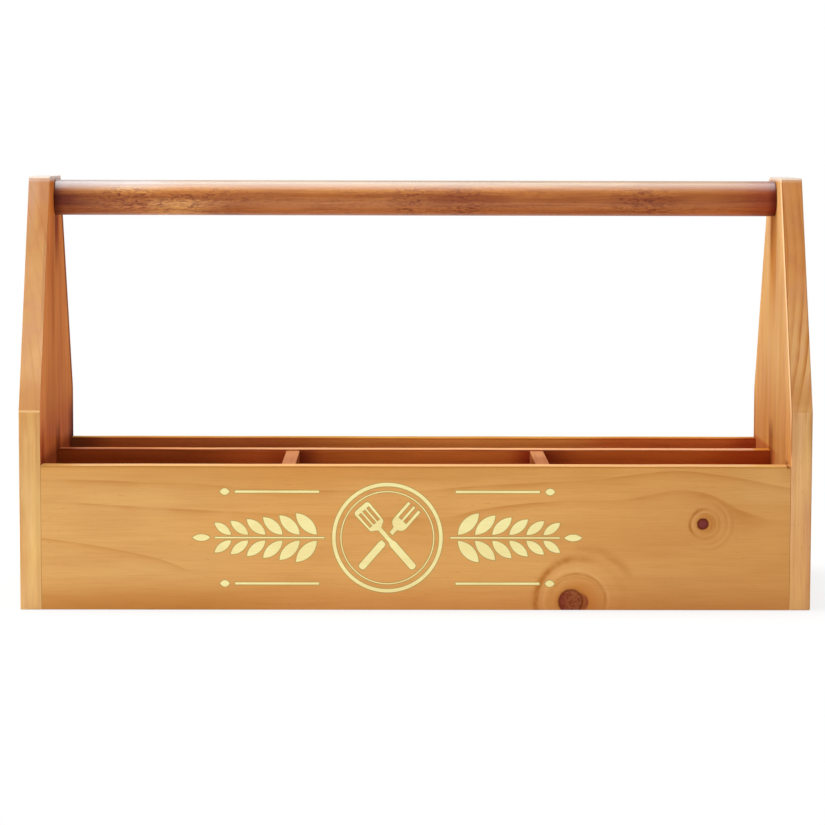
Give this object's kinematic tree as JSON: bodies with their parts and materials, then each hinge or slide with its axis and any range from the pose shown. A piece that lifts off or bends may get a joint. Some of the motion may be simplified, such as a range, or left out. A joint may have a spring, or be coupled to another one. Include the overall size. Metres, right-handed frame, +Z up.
{
  "type": "barbecue caddy",
  "caption": "Open wooden caddy with gabled ends, a round carrying handle, a long rear bay and short front bays for bottles and table tools.",
  "frame": {"origin": "centre of the base, on the surface that the caddy stands on", "axes": "+X along the caddy, +Y from its front to its back, +Z up"},
  "size_m": [0.445, 0.17, 0.2425],
  "materials": {
    "stained_pine": "satin lacquer over a honey stain",
    "floor_ply": "stained plywood, satin",
    "handle_wood": "darker reddish stain, semi-gloss lacquer",
    "zinc_steel": "zinc plated",
    "ornament_paint": "thin pale yellow print on the front board, in the visual model only"
  },
  "bodies": {
    "root": {"end_panel_left": "stained_pine", "end_panel_right": "stained_pine", "front_board": "stained_pine", "back_board": "stained_pine", "long_divider": "stained_pine", "cross_divider_left": "stained_pine", "cross_divider_right": "stained_pine", "floor_board": "floor_ply", "handle": "handle_wood", "front_screw_left_lower": "zinc_steel", "front_screw_left_upper": "zinc_steel", "front_screw_right_lower": "zinc_steel", "front_screw_right_upper": "zinc_steel", "back_screw_left_lower": "zinc_steel", "back_screw_left_upper": "zinc_steel", "back_screw_right_lower": "zinc_steel", "back_screw_right_upper": "zinc_steel", "divider_screw_left_lower": "zinc_steel", "divider_screw_left_upper": "zinc_steel", "divider_screw_right_lower": "zinc_steel", "divider_screw_right_upper": "zinc_steel", "handle_screw_left": "zinc_steel", "handle_screw_right": "zinc_steel", "long_divider_floor_screw_left": "zinc_steel", "long_divider_floor_screw_middle": "zinc_steel", "long_divider_floor_screw_right": "zinc_steel", "cross_divider_floor_screw_left": "zinc_steel", "cross_divider_floor_screw_right": "zinc_steel", "divider_nail_left_lower": "zinc_steel", "divider_nail_left_upper": "zinc_steel", "divider_nail_right_lower": "zinc_steel", "divider_nail_right_upper": "zinc_steel"}
  },
  "joints": []
}
